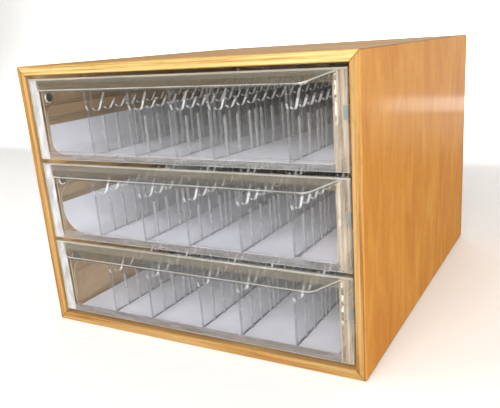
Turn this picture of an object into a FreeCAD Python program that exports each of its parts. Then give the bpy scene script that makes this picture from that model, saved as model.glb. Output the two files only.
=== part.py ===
import FreeCAD, Part
import math
import os

# An embroidery thread cabinet: a mitred wooden case with three clear moulded drawers on side runners.
# Millimetres. X runs across the front, Y from the front to the back and Z up.
# The origin is the centre of the case's underside, on the surface that it stands on.

# Case boards
case_width = 320.0
case_depth = 367.0
case_height = 245.0
board_thickness = 8.0
corner_radius = 1.6
arris_chamfer = 0.7

# Back panel, held in a groove round the boards
back_thickness = 4.0
groove_depth = 4.0
groove_setback = 6.0
groove_play = 0.2

# Drawer fronts and the gaps round them
bottom_gap = 3.6
top_gap = 3.2
front_gap = 3.7
front_side_gap = 1.9
front_recess = 2.0
front_thickness = 2.5
front_corner_radius = 1.2
rim_width = 1.6
rim_depth = 0.4
window_top_drop = 9.6
window_bottom_rise = 8.0
window_proud = 0.5

# Pull lip, a thin awning along the top of each front
lip_drop = 1.6
lip_fall = 6.6
lip_reach = 15.4
lip_thickness = 2.2
lip_crown = 0.3
lip_end_inset = 8.6
lip_taper = 18.0
lip_corner_radius = 16.0

# Ears behind each front, lapped inside the tray's walls, with an eyelet
ear_thickness = 1.5
ear_radius = 8.0
ear_setback = 6.5
ear_drop = 17.0
ear_fillet = 12.0
ear_strip_depth = 2.0
eyelet_radius = 3.8

# Drawer trays
tray_side_gap = 10.3
tray_back_gap = 8.0
tray_top_drop = 3.0
tray_floor_rise = 2.0
tray_wall = 2.2
tray_floor = 2.2
tray_floor_radius = 3.0
tray_back_radius = 6.0

# Runners on the case sides, and the rails of the trays that ride on them
runner_width = 6.0
runner_height = 10.0
runner_drop = 30.0
runner_chamfer = 0.8
runner_end_gap = 0.3
runner_back_gap = 12.0
housing_depth = 2.0
housing_end_gap = 0.5
rail_thickness = 2.0
rail_side_gap = 1.0
rail_top_gap = 0.3
rail_under_gap = 0.8

# Dividers, with a tab at each end, a prong behind the front tab and a comb of leaning notches
divider_thickness = 2.2
divider_end_gap = 0.3
divider_height = 63.0
divider_crest_height = 45.5
divider_tab_width = 7.2
divider_tab_bevel = 1.5
divider_toe_setback = 1.6
divider_toe_height = 39.0
divider_toe_slope = 4.0
prong_height = 52.0
prong_reach = 16.2
prong_tip = 1.0
prong_root = 14.5
notch_pitch_wanted = 14.8
notch_depth = 8.2
notch_lean_angle = 42.0
notch_chords = 2
rib_first = 18.0
rib_pitch_wanted = 17.2
rib_width = 4.0
rib_proud = 1.0
rib_height = 32.5
rib_bite = 0.3
rib_extra_gap_index = 2

# Paper liners
liner_thickness = 0.4
liner_wall_gap = 0.3
liner_front_gap = 2.6
liner_back_gap = 8.0
liner_right_gap = 4.0

# How far each loose divider stands to the right of an even spacing, left to right
divider_shifts = {
    "bottom": [2.5, -0.5, 8.5, 1.5, 6.5],
    "middle": [-2.5, 3.0, 3.5, 8.0, 9.0],
    "top": [4.0, 4.5, 0.5, -10.5, 9.5],
}

# Loose dividers that stand askew, by how many degrees their rear end is turned to the right
divider_turns = {"top_drawer_divider_4": 5.8}

# How the paper turns up the left wall: radius of the turn, then height of its edge above the floor
liner_curls = {
    "bottom": (0.0, 0.0),
    "middle": (24.0, 29.0),
    "top": (12.0, 26.0),
}

# Drawers from the lowest up
drawer_names = ["bottom", "middle", "top"]

# Sizes that follow from the ones above
opening_width = case_width - 2 * board_thickness
opening_height = case_height - 2 * board_thickness
case_front = -case_depth / 2
case_back = case_depth / 2
back_inner = case_back - groove_setback - back_thickness
fronts_total = opening_height - bottom_gap - top_gap - front_gap * (len(drawer_names) - 1)
front_height = fronts_total / len(drawer_names)
front_width = opening_width - 2 * front_side_gap
front_face = case_front + front_recess
front_back = front_face + front_thickness
lip_root_half_width = front_width / 2 - lip_end_inset
tray_width = opening_width - 2 * tray_side_gap
tray_inner_width = tray_width - 2 * tray_wall
tray_back = back_inner - tray_back_gap
tray_inner_back = tray_back - tray_wall
tray_inner_depth = tray_inner_back - front_back
tray_height = front_height - tray_top_drop - tray_floor_rise
tray_inner_radius = tray_floor_radius - tray_floor / 2
floor_top = tray_floor_rise + tray_floor
liner_top = floor_top + liner_thickness
runner_start = front_back + runner_end_gap
runner_end = back_inner - runner_back_gap
runner_middle = front_height - runner_drop
divider_length = tray_inner_depth - 2 * divider_end_gap

# Allowance by which cutting shapes stand clear of what they cut
over = 1.0


def across(u, v):
    """A point of an outline seen from the front: u to the right, v up."""
    return FreeCAD.Vector(u, 0, v)


def sideways(u, v):
    """A point of an outline seen from the side: u to the back, v up."""
    return FreeCAD.Vector(0, u, v)


def plan(u, v):
    """A point of an outline seen from above: u to the right, v to the back."""
    return FreeCAD.Vector(u, v, 0)


def rounded_outline(corners, plane):
    """A closed wire through corners (u, v, radius), where a radius rounds its corner with an arc."""
    edges = []
    ends = []
    count = len(corners)
    for index in range(count):
        u, v, radius = corners[index]
        here = plane(u, v)
        if radius == 0:
            ends.append((here, here))
            continue
        before = plane(*corners[index - 1][:2])
        after = plane(*corners[(index + 1) % count][:2])
        to_before = (before - here).normalize()
        to_after = (after - here).normalize()
        half_angle = to_before.getAngle(to_after) / 2
        inward = (to_before + to_after).normalize()
        run = radius / math.tan(half_angle)
        start = here + to_before * run
        end = here + to_after * run
        middle = here + inward * (radius / math.sin(half_angle) - radius)
        edges.append(Part.Arc(start, middle, end).toShape())
        ends.append((start, end))
    for index in range(count):
        start = ends[index][1]
        end = ends[(index + 1) % count][0]
        edges.append(Part.makeLine(start, end))
    return Part.Wire(Part.__sortEdges__(edges))


def prism(corners, plane, start, end):
    """A solid with the given rounded outline, from start to end along the plane's normal."""
    normal = plane(1, 0).cross(plane(0, 1))
    if plane is across:
        normal = normal * -1
    face = Part.Face(rounded_outline(corners, plane))
    face.translate(normal * start)
    return face.extrude(normal * (end - start))


def block(low, high):
    """A box between two corners."""
    size = FreeCAD.Vector(*high) - FreeCAD.Vector(*low)
    return Part.makeBox(size.x, size.y, size.z, FreeCAD.Vector(*low))


def moved(shape, x=0.0, y=0.0, z=0.0):
    """A copy of a shape, shifted."""
    copy = shape.copy()
    copy.translate(FreeCAD.Vector(x, y, z))
    return copy


def mirrored(shape):
    """The same shape on the other side of the case's middle."""
    return shape.mirror(FreeCAD.Vector(0, 0, 0), FreeCAD.Vector(1, 0, 0))


def case_ring():
    """The four boards as one ring: rubbed outer corners, eased front arrises and the back's groove."""
    half = case_width / 2
    ring = block((-half, case_front, 0), (half, case_back, case_height))
    long_edges = [edge for edge in ring.Edges if abs(edge.tangentAt(0).y) > 0.5]
    ring = ring.makeFillet(corner_radius, long_edges)
    inner = opening_width / 2
    ring = ring.cut(block((-inner, case_front - over, board_thickness),
                          (inner, case_back + over, case_height - board_thickness)))
    front_edges = [edge for edge in ring.Edges
                   if edge.BoundBox.YMax < case_front + arris_chamfer / 2]
    ring = ring.makeChamfer(arris_chamfer, front_edges)
    reach = inner + groove_depth
    low = board_thickness - groove_depth
    groove_end = back_inner + back_thickness + groove_play
    return ring.cut(block((-reach, back_inner, low), (reach, groove_end, case_height - low)))


def mitre_wedge(corner_a, corner_b, inner_b, inner_a):
    """The trapezoid prism that one board fills, between its two mitres."""
    corners = [(u, v, 0) for u, v in (corner_a, corner_b, inner_b, inner_a)]
    return prism(corners, across, case_front - over, case_back + over)


def case_boards():
    """The top, bottom and side boards, parted at the mitres."""
    ring = case_ring()
    half = case_width / 2
    inner = opening_width / 2
    low = board_thickness
    high = case_height - board_thickness
    outer_corners = [(-half, 0), (half, 0), (half, case_height), (-half, case_height)]
    inner_corners = [(-inner, low), (inner, low), (inner, high), (-inner, high)]
    names = ["bottom_panel", "right_side_panel", "top_panel", "left_side_panel"]
    boards = {}
    for index, name in enumerate(names):
        after = (index + 1) % len(names)
        wedge = mitre_wedge(outer_corners[index], outer_corners[after],
                            inner_corners[after], inner_corners[index])
        boards[name] = ring.common(wedge)
    return boards


def back_panel():
    """The thin panel that closes the back, with its edges in the groove."""
    half = opening_width / 2 + groove_depth - groove_play
    low = board_thickness - groove_depth + groove_play
    return block((-half, back_inner, low), (half, back_inner + back_thickness, case_height - low))


def drawer_base(level):
    """Height of the lower edge of a drawer's front."""
    return board_thickness + bottom_gap + level * (front_height + front_gap)


def runner_section(level):
    """Lower and upper faces of one drawer's runners."""
    middle = drawer_base(level) + runner_middle
    return middle - runner_height / 2, middle + runner_height / 2


def runner(level):
    """The right-hand runner of one drawer: a bar with eased inner edges, let into the side."""
    outer = opening_width / 2 + housing_depth
    inner = opening_width / 2 - runner_width
    low, high = runner_section(level)
    corners = [
        (outer, low, 0),
        (inner + runner_chamfer, low, 0),
        (inner, low + runner_chamfer, 0),
        (inner, high - runner_chamfer, 0),
        (inner + runner_chamfer, high, 0),
        (outer, high, 0),
    ]
    return prism(corners, across, runner_start, runner_end)


def right_housings():
    """The shallow stopped grooves in the right side that the runners are glued into."""
    housings = []
    for level in range(len(drawer_names)):
        low, high = runner_section(level)
        housings.append(block((opening_width / 2 - over, runner_start - housing_end_gap, low),
                              (opening_width / 2 + housing_depth, runner_end + housing_end_gap, high)))
    return Part.makeCompound(housings)


def tray_form(half_width, back, low, high, floor_radius, back_radius):
    """A block open to the front plate, with rounded lower and rear corners."""
    section = [
        (-half_width, high, 0),
        (-half_width, low, floor_radius),
        (half_width, low, floor_radius),
        (half_width, high, 0),
    ]
    footprint = [
        (-half_width, front_back, 0),
        (half_width, front_back, 0),
        (half_width, back, back_radius),
        (-half_width, back, back_radius),
    ]
    return prism(section, across, front_back, back).common(prism(footprint, plan, low, high))


def tray_rails():
    """The two rails of the right wall that hold the runner between them."""
    wall = tray_width / 2 - tray_wall / 2
    outer = opening_width / 2 - rail_side_gap
    back = tray_back - tray_back_radius
    upper = runner_middle + runner_height / 2 + rail_top_gap
    lower = runner_middle - runner_height / 2 - rail_under_gap - rail_thickness
    return [block((wall, front_back, z), (outer, back, z + rail_thickness)) for z in (upper, lower)]


def drawer_tray():
    """An open tray with no front wall, with rounded corners and a pair of rails on each side."""
    top = tray_floor_rise + tray_height
    outside = tray_form(tray_width / 2, tray_back, tray_floor_rise, top,
                        tray_floor_radius, tray_back_radius)
    inside = tray_form(tray_inner_width / 2, tray_inner_back, floor_top, top + over,
                       tray_inner_radius, tray_back_radius - tray_wall)
    right = tray_rails()
    left = [mirrored(rail) for rail in right]
    return outside.multiFuse(right + left).cut(inside).removeSplitter()


def front_plate():
    """The flat of the front, with a fine raised rim and a slightly proud window."""
    half = front_width / 2
    outline = [(u, v, front_corner_radius)
               for u, v in ((-half, 0), (half, 0), (half, front_height), (-half, front_height))]
    plate = prism(outline, across, front_face, front_back)
    inset = half - rim_width
    pocket = block((-inset, front_face - over, rim_width),
                   (inset, front_face + rim_depth, front_height - rim_width))
    window_half = tray_inner_width / 2
    window = block((-window_half, front_face + rim_depth - window_proud, window_bottom_rise),
                   (window_half, front_back, front_height - window_top_drop))
    return plate.cut(pocket).fuse(window)


def pull_lip():
    """The awning: a thin crowned strip that leans out and down, with tapered and rounded ends."""
    root = front_face + front_thickness / 2
    tip = front_face - lip_reach
    high = front_height - lip_drop
    low = high - lip_fall
    middle = (root + tip) / 2
    half_drop = (high + low) / 2 + lip_crown
    top_root = sideways(root, high)
    top_tip = sideways(tip, low)
    under_tip = sideways(tip, low - lip_thickness)
    under_root = sideways(root, high - lip_thickness)
    over_arc = Part.Arc(top_root, sideways(middle, half_drop), top_tip).toShape()
    under_arc = Part.Arc(under_tip, sideways(middle, half_drop - lip_thickness), under_root).toShape()
    edges = [over_arc, Part.makeLine(top_tip, under_tip), under_arc, Part.makeLine(under_root, top_root)]
    section = Part.Face(Part.Wire(edges))
    section.translate(FreeCAD.Vector(-lip_root_half_width, 0, 0))
    strip = section.extrude(FreeCAD.Vector(2 * lip_root_half_width, 0, 0))
    tip_half = lip_root_half_width - lip_taper
    ends = [
        (-lip_root_half_width, front_face, 0),
        (-tip_half, tip, lip_corner_radius),
        (tip_half, tip, lip_corner_radius),
        (lip_root_half_width, front_face, 0),
        (lip_root_half_width, front_back, 0),
        (-lip_root_half_width, front_back, 0),
    ]
    return strip.common(prism(ends, plan, 0, front_height))


def ear_outline():
    """The ear's edge: over the eyelet, down a reversed curve and along a narrow strip to the floor."""
    centre_y = front_back + ear_setback
    centre_z = front_height - ear_drop
    strip = front_back + ear_strip_depth
    fillet_y = strip + ear_fillet
    reach = ear_radius + ear_fillet
    fillet_z = centre_z - math.sqrt(reach ** 2 - (fillet_y - centre_y) ** 2)
    lean = math.atan2(fillet_z - centre_z, fillet_y - centre_y)
    high = sideways(centre_y, centre_z + ear_radius)
    joint = sideways(centre_y + ear_radius * math.cos(lean), centre_z + ear_radius * math.sin(lean))
    bulge = (math.pi / 2 + lean) / 2
    outermost = sideways(centre_y + ear_radius * math.cos(bulge), centre_z + ear_radius * math.sin(bulge))
    neck = sideways(strip, fillet_z)
    turn = (math.pi + (math.pi + lean)) / 2
    hollow = sideways(fillet_y + ear_fillet * math.cos(turn), fillet_z + ear_fillet * math.sin(turn))
    floor = floor_top + tray_inner_radius
    foot = sideways(strip, floor)
    return Part.Wire([
        Part.makeLine(sideways(front_back, centre_z + ear_radius), high),
        Part.Arc(high, outermost, joint).toShape(),
        Part.Arc(joint, hollow, neck).toShape(),
        Part.makeLine(neck, foot),
        Part.makeLine(foot, sideways(front_back, floor)),
        Part.makeLine(sideways(front_back, floor), sideways(front_back, centre_z + ear_radius)),
    ])


def ear():
    """The right ear, which laps inside the tray's wall, with its eyelet."""
    face = tray_inner_width / 2 - ear_thickness
    sheet = Part.Face(ear_outline())
    sheet.translate(FreeCAD.Vector(face, 0, 0))
    centre = FreeCAD.Vector(face - over, front_back + ear_setback, front_height - ear_drop)
    eyelet = Part.makeCylinder(eyelet_radius, ear_thickness + 2 * over, centre, FreeCAD.Vector(1, 0, 0))
    return sheet.extrude(FreeCAD.Vector(ear_thickness, 0, 0)).cut(eyelet)


def drawer_front():
    """One moulding: plate, pull lip and the two ears."""
    right_ear = ear()
    return front_plate().multiFuse([pull_lip(), right_ear, mirrored(right_ear)])


def notch(start, radius):
    """Corners of a notch from its upright near side, round its bottom, to where the far side leans away."""
    low = divider_crest_height - notch_depth
    sweep = math.pi - math.radians(notch_lean_angle)
    corners = []
    for step in range(notch_chords + 1):
        turn = math.pi + sweep * step / notch_chords
        corners.append((start + radius * (1 + math.cos(turn)), low + radius * (1 + math.sin(turn)), 0))
    return corners


def comb():
    """Corners of the comb: a notch, the tall prong behind it and equal notches up to the rear tab."""
    lean = math.radians(notch_lean_angle)
    first = divider_tab_width + prong_root
    run = divider_length - divider_tab_width - first
    count = round(run / notch_pitch_wanted)
    pitch = run / count
    spread = 1 + math.cos(lean) - math.tan(lean) * (1 - math.sin(lean))
    radius = (pitch - notch_depth * math.tan(lean)) / spread
    tip = divider_tab_width + prong_reach
    corners = notch(divider_tab_width, radius)
    corners.append((tip, prong_height, 0))
    corners.append((tip + prong_tip, prong_height, 0))
    corners.append((first, divider_crest_height, 0))
    for index in range(count):
        corners += notch(first + pitch * index, radius)
        corners.append((first + pitch * (index + 1), divider_crest_height, 0))
    return corners


def divider_end():
    """Corners of a divider's front end, from its foot up to the comb."""
    toe = divider_toe_setback
    return [
        (toe, 0, 0),
        (toe, divider_toe_height, 0),
        (0, divider_toe_height + divider_toe_slope, 0),
        (0, divider_height - divider_tab_bevel, 0),
        (divider_tab_bevel, divider_height, 0),
        (divider_tab_width - divider_tab_bevel, divider_height, 0),
        (divider_tab_width, divider_height - divider_tab_bevel, 0),
    ]


def divider_outline():
    """The whole side outline of a divider: two tabs and the comb between them."""
    far_end = [(divider_length - u, v, radius) for u, v, radius in reversed(divider_end())]
    return divider_end() + comb() + far_end


def rib_places():
    """Middles of a divider's upright ribs, with one more between two of them near each end."""
    last = divider_length - rib_first
    gaps = round((last - rib_first) / rib_pitch_wanted)
    pitch = (last - rib_first) / gaps
    places = [rib_first + pitch * index for index in range(gaps + 1)]
    extra = rib_first + pitch * (rib_extra_gap_index + 0.5)
    return places + [extra, divider_length - extra]


def divider():
    """A loose divider with its ribs, front edge at Y 0, foot at Z 0 and middle at X 0."""
    face = divider_thickness / 2
    sheet = prism(divider_outline(), sideways, -face, face)
    ribs = []
    for y in rib_places():
        low = y - rib_width / 2
        high = y + rib_width / 2
        section = [
            (face - rib_bite, low, 0),
            (face, low, 0),
            (face + rib_proud, y, 0),
            (face, high, 0),
            (face - rib_bite, high, 0),
        ]
        ribs.append(prism(section, plan, 0, rib_height))
    return sheet.multiFuse(ribs).removeSplitter()


def divider_positions(name):
    """Middles of one drawer's dividers across the tray."""
    shifts = divider_shifts[name]
    even = tray_inner_width / (len(shifts) + 1)
    return [(index + 1) * even - tray_inner_width / 2 + shift for index, shift in enumerate(shifts)]


def placed_divider(loose, x, z, turn):
    """A divider in its drawer, turned about its front end and kept clear of the front by its corner."""
    copy = loose.copy()
    copy.rotate(FreeCAD.Vector(0, 0, 0), FreeCAD.Vector(0, 0, 1), -turn)
    corner = divider_thickness / 2 * math.sin(math.radians(turn))
    return moved(copy, x=x, y=front_back + divider_end_gap + corner, z=z)


def liner(name):
    """A sheet of paper on the tray's floor, which may turn up along the left wall."""
    radius, rise = liner_curls[name]
    left = -tray_inner_width / 2 + liner_wall_gap
    right = tray_inner_width / 2 - liner_right_gap
    start = front_back + liner_front_gap
    end = tray_inner_back - liner_back_gap
    if rise == 0:
        left = -tray_inner_width / 2 + liner_right_gap
        return block((left, start, floor_top), (right, end, liner_top))
    turn = radius + liner_thickness
    section = [
        (right, floor_top, 0),
        (right, liner_top, 0),
        (left + liner_thickness, liner_top, radius),
        (left + liner_thickness, floor_top + rise, 0),
        (left, floor_top + rise, 0),
        (left, floor_top, turn),
    ]
    return prism(section, across, start, end)


def save(name, shape):
    """Write one node's STEP file."""
    shape.exportStep(os.path.join("parts", name + ".step"))


def build():
    """Every node of the cabinet, by name."""
    nodes = case_boards()
    housings = right_housings()
    nodes["right_side_panel"] = nodes["right_side_panel"].cut(housings)
    nodes["left_side_panel"] = nodes["left_side_panel"].cut(mirrored(housings))
    nodes["back_panel"] = back_panel()
    tray = drawer_tray()
    front = drawer_front()
    loose_divider = divider()
    for level, name in enumerate(drawer_names):
        base = drawer_base(level)
        bar = runner(level)
        nodes[name + "_right_runner"] = bar
        nodes[name + "_left_runner"] = mirrored(bar)
        nodes[name + "_drawer_tray"] = moved(tray, z=base)
        nodes[name + "_drawer_front"] = moved(front, z=base)
        nodes[name + "_drawer_liner"] = moved(liner(name), z=base)
        for index, x in enumerate(divider_positions(name)):
            node = name + "_drawer_divider_" + str(index + 1)
            turn = divider_turns.get(node, 0.0)
            nodes[node] = placed_divider(loose_divider, x, base + liner_top, turn)
    return nodes


def main():
    os.makedirs("parts", exist_ok=True)
    for name, shape in build().items():
        save(name, shape)
        print(name, len(shape.Solids), round(shape.Volume, 1))


main()
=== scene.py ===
# %% [markdown]
# # A thread cabinet with three clear drawers
#
# This file dresses a small wooden cabinet for embroidery thread. The construction was
# worked out elsewhere, in millimetres, and arrives as a fixed frame: boards, runners,
# trays, fronts, loose dividers and paper liners, each a named node. Here each of them
# gets its finish, and those whose edges matter to the eye get a finer shape as well.
# Sizes are written in millimetres and multiplied by `MM`, because Blender counts metres.

# %% Load the frame
import math
import bpy
import bmesh
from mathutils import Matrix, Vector, noise


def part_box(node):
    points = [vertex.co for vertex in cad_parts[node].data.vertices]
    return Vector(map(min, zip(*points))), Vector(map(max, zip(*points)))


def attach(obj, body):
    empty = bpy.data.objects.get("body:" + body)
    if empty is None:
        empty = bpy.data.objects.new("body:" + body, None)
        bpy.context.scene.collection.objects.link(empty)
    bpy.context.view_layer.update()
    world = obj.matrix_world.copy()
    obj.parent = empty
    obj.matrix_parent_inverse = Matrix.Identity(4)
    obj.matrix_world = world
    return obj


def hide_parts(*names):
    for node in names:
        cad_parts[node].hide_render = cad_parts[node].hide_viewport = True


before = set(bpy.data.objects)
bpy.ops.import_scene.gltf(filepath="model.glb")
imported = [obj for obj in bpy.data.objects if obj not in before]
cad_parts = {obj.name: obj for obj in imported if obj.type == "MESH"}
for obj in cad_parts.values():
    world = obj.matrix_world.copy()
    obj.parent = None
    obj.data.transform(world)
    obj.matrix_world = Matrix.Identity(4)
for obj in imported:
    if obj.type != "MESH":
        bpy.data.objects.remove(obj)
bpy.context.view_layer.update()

MM = 0.001
DRAWERS = ("bottom", "middle", "top")

# %% [markdown]
# ## Colours and nodes
#
# A hex colour is written the way a screen stores it, with its brightness squeezed by the
# sRGB curve. Shaders calculate with light itself, so one function undoes that curve.
# Another adds a node, sets its inputs and makes its links, which keeps each material
# short enough to read as a recipe. Nodes could be laid out by hand in the shader editor
# as well, but written down they can be read and changed in one place.

# %% Helpers for materials
def srgb(code):
    """A hex colour as linear light, with full alpha."""
    parts = [int(code[i:i + 2], 16) / 255 for i in (1, 3, 5)]
    light = [p / 12.92 if p <= 0.04045 else ((p + 0.055) / 1.055) ** 2.4 for p in parts]
    return (*light, 1.0)


def set_stops(band, stops):
    """Fill a colour ramp with (position, hex colour) stops."""
    while len(band.elements) < len(stops):
        band.elements.new(0.5)
    for element, (position, code) in zip(band.elements, stops):
        element.position = position
        element.color = srgb(code)


def add(tree, kind, settings=None, **inputs):
    """Add a node. Settings are its own options, and "stops" are those of its colour ramp.
    Each input goes by its name, or by its number after a _, and takes a value, a socket,
    or a node, which gives its first socket."""
    made = tree.nodes.new("ShaderNode" + kind)
    for option, value in (settings or {}).items():
        if option == "stops":
            set_stops(made.color_ramp, value)
        else:
            setattr(made, option, value)
    for name, value in inputs.items():
        socket = made.inputs[int(name[1:]) if name[0] == "_" else name.replace("_", " ")]
        if isinstance(value, bpy.types.Node):
            value = value.outputs[0]
        if isinstance(value, bpy.types.NodeSocket):
            tree.links.new(value, socket)
        else:
            socket.default_value = value
    return made


def new_material(name):
    """An empty node material and its tree."""
    material = bpy.data.materials.new(name)
    material.use_nodes = True
    material.node_tree.nodes.clear()
    return material, material.node_tree


# A Mix node has sockets for each kind of data: colours use 6 and 7, and come out of 2.
BLEND = {"data_type": "RGBA"}
DARKEN = {"data_type": "RGBA", "blend_type": "MULTIPLY"}
MULTIPLY, SUBTRACT, ABSOLUTE, MULTIPLY_ADD = (
    {"operation": sum_name} for sum_name in ("MULTIPLY", "SUBTRACT", "ABSOLUTE", "MULTIPLY_ADD"))
print("helpers ready; mid grey is", round(srgb("#808080")[0], 3))

# %% [markdown]
# ## Lacquered wood
#
# The case is a light hardwood under a satin lacquer that has yellowed to honey. What
# makes such wood read as wood is a slow figure, a few centimetres wide and drawn out
# along the grain, then fine fibres and short dark pores. A picture of veneer could be
# laid on every board, but it would have to be fitted round each edge. Noise needs no
# fitting and runs through a board as real grain does, so every pattern here is a noise
# that is squeezed across the grain and stretched along it.

# %% Grain
# Widths across the grain in mm. Real fibres and streaks are a few tenths of a millimetre
# wide and would vanish in a small picture, so they are drawn several times coarser.
FIGURE_MM = 22.0
STAIN_MM = 60.0
FIBRE_MM = 3.4
STREAK_MM = 1.7
PORE_MM = 0.9
# How many times as long as wide each pattern is.
STAIN_STRETCH = 1.6
FIBRE_STRETCH = 22.0
STREAK_STRETCH = 70.0
PORE_STRETCH = 9.0


def grain(tree, place, axis, width_mm, stretch, offset, **look):
    """Noise width_mm across the grain and stretch times that along it, from its own offset."""
    scale = [1 / (width_mm * MM)] * 3
    scale["XYZ".index(axis)] /= stretch
    start = (offset, offset * 2, offset * 3)
    space = add(tree, "Mapping", Vector=place, Scale=scale, Location=start)
    return add(tree, "TexNoise", Vector=space, Scale=1.0, **look)


print("a fibre is", FIBRE_MM, "mm wide and", round(FIBRE_MM * FIBRE_STRETCH), "mm long")

# %% [markdown]
# ## Which side of a board is which
#
# The faces of the boards that look to the front are painted paler and yellower than the other
# faces, over streaks of grain: painted light, for the window light that falls on the front, and the
# top board's front edge is painted lighter still. Inside, the side boards are unlacquered wood,
# painted paler still for light that is scattered into the case. The floor inside is painted a
# darker brown and the underside of the top a deep brown, both painted shade, and the top and side
# boards are painted darker towards the opening of the case, a painted shade as well. Where two
# boards meet at a mitre, a hair line of glue shows. Faces could be picked by hand for each. Here
# one recipe tells them apart by where a point lies and which way its surface looks, so it fits
# every board.

# %% Inside and mitre
CASE_HALF_WIDTH = 160.0
CASE_MIDDLE = 122.5
# A range says between which values of its input a factor goes from 0 to 1, or as told.
INSIDE = {"From_Min": -2 * MM, "From_Max": 0.0, "To_Min": 1.0, "To_Max": 0.0}
GLUE_LINE = {"From_Min": 0.25 * MM, "From_Max": 0.7 * MM, "To_Min": 0.75, "To_Max": 0.0}


def facing_inside(tree, place, normal):
    """1 on faces that look towards the middle of the case, 0 on its outside."""
    centre = (0, 0, CASE_MIDDLE * MM)
    outwards = add(tree, "VectorMath", SUBTRACT, _0=place, _1=centre)
    along = add(tree, "VectorMath", {"operation": "DOT_PRODUCT"}, _0=outwards, _1=normal)
    return add(tree, "MapRange", Value=along.outputs["Value"], **INSIDE)


def mitre_line(tree, place):
    """Share of glue where a side board meets the top or bottom board, 0 elsewhere."""
    parts = add(tree, "SeparateXYZ", Vector=place)
    across = add(tree, "Math", ABSOLUTE, _0=parts.outputs["X"])
    centred = add(tree, "Math", SUBTRACT, _0=parts.outputs["Z"], _1=CASE_MIDDLE * MM)
    up = add(tree, "Math", ABSOLUTE, _0=centred)
    apart = add(tree, "Math", SUBTRACT, _0=across, _1=up)
    offset = add(tree, "Math", SUBTRACT, _0=apart, _1=(CASE_HALF_WIDTH - CASE_MIDDLE) * MM)
    away = add(tree, "Math", ABSOLUTE, _0=offset)
    return add(tree, "MapRange", Value=away, **GLUE_LINE)


print("mitres meet", CASE_MIDDLE, "mm above and below the middle of the case")

# %% Wood
FIBRE_SHARE = 0.35
STAIN_SHARE = 0.5
TONES = {"From_Min": 0.67, "From_Max": 1.23}
STREAKS = {"From_Min": 0.34, "From_Max": 0.66}
PORES = {"From_Min": 0.3, "From_Max": 0.4, "To_Min": 0.72}
FACING_FRONT = {"From_Min": -0.95, "From_Max": -0.6, "To_Min": 1.0, "To_Max": 0.0}
# Painted shade: inside faces grow darker over this depth towards the opening.
OPENING = {"From_Min": -176 * MM, "From_Max": -168 * MM}
PORE_SHARE = 0.55
GLUE = "#5E3414"
LACQUER_IOR = 1.5


def wood(name, axis, face_stops, edge_stops, inside_stops=None, coat=0.1, mouth=0.45, drawn=3.0):
    """Wood with its grain along one axis under a thin lacquer. Edge stops colour what faces the
    front, as painted light, and inside stops what faces into the case, painted darker towards its
    opening down to mouth as painted shade. Drawn is how long the figure is for its width. Boards
    with inside stops are mitred."""
    material, tree = new_material(name)
    place = add(tree, "TexCoord").outputs["Object"]
    normal = add(tree, "NewGeometry").outputs["Normal"]
    figure = grain(tree, place, axis, FIGURE_MM, drawn, 3.7, Detail=3.0, Roughness=0.55,
                   Distortion=0.7)
    stain = grain(tree, place, axis, STAIN_MM, STAIN_STRETCH, 1.9)
    fibre = grain(tree, place, axis, FIBRE_MM, FIBRE_STRETCH, 0.0, Roughness=0.6)
    streak = grain(tree, place, axis, STREAK_MM, STREAK_STRETCH, 5.3, Detail=3.0, Roughness=0.65)
    pore = grain(tree, place, axis, PORE_MM, PORE_STRETCH, 8.1, Detail=1.0)
    tone = add(tree, "Math", MULTIPLY_ADD, _0=fibre, _1=FIBRE_SHARE, _2=figure)
    tone = add(tree, "Math", MULTIPLY_ADD, _0=stain, _1=STAIN_SHARE, _2=tone)
    tone = add(tree, "MapRange", Value=tone, **TONES)
    face = add(tree, "ValToRGB", {"stops": face_stops}, Fac=tone)
    lines = add(tree, "MapRange", Value=streak, **STREAKS)
    edge = add(tree, "ValToRGB", {"stops": edge_stops}, Fac=lines)
    # What faces into the case takes its own colours: painted light on the sides, painted shade
    # under the top and on the floor, and painted shade towards the opening.
    if inside_stops:
        depth = add(tree, "SeparateXYZ", Vector=place).outputs["Y"]
        shade = add(tree, "MapRange", Value=depth, To_Min=mouth, **OPENING)
        inside_colour = add(tree, "ValToRGB", {"stops": inside_stops}, Fac=tone)
        inside_colour = add(tree, "Mix", DARKEN, _0=1.0, _6=inside_colour, _7=shade).outputs[2]
        inside = facing_inside(tree, place, normal)
        face = add(tree, "Mix", BLEND, _0=inside, _6=face, _7=inside_colour).outputs[2]
    # Faces that look to the front take the edge colours: painted light over grain.
    towards = add(tree, "SeparateXYZ", Vector=normal).outputs["Y"]
    front = add(tree, "MapRange", Value=towards, **FACING_FRONT)
    colour = add(tree, "Mix", BLEND, _0=front, _6=face, _7=edge).outputs[2]
    dots = add(tree, "MapRange", Value=pore, **PORES)
    colour = add(tree, "Mix", DARKEN, _0=PORE_SHARE, _6=colour, _7=dots).outputs[2]
    if inside_stops:
        glue = mitre_line(tree, place)
        colour = add(tree, "Mix", BLEND, _0=glue, _6=colour, _7=srgb(GLUE)).outputs[2]
    bump = add(tree, "Bump", Strength=0.25, Distance=0.15 * MM, Height=fibre)
    shader = add(tree, "BsdfPrincipled", Base_Color=colour, Roughness=0.6, Normal=bump,
                 Specular_IOR_Level=0.0, Coat_Weight=coat, Coat_Roughness=0.12,
                 Coat_IOR=LACQUER_IOR)
    add(tree, "OutputMaterial", Surface=shader)
    return material


print("lacquer mirrors", round(((LACQUER_IOR - 1) / (LACQUER_IOR + 1)) ** 2, 3), "face on")

# %% Case boards
FACE = [(0.0, "#B47432"), (0.5, "#BF833A"), (1.0, "#C99244")]
TOP = [(0.0, "#987038"), (0.5, "#A57C40"), (1.0, "#B08A4C")]
# Front edges: painted light, paler and yellower than the faces, over streaks of grain.
EDGE = [(0.0, "#785028"), (0.3, "#8C683C"), (0.6, "#987848"), (1.0, "#A0845A")]
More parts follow.
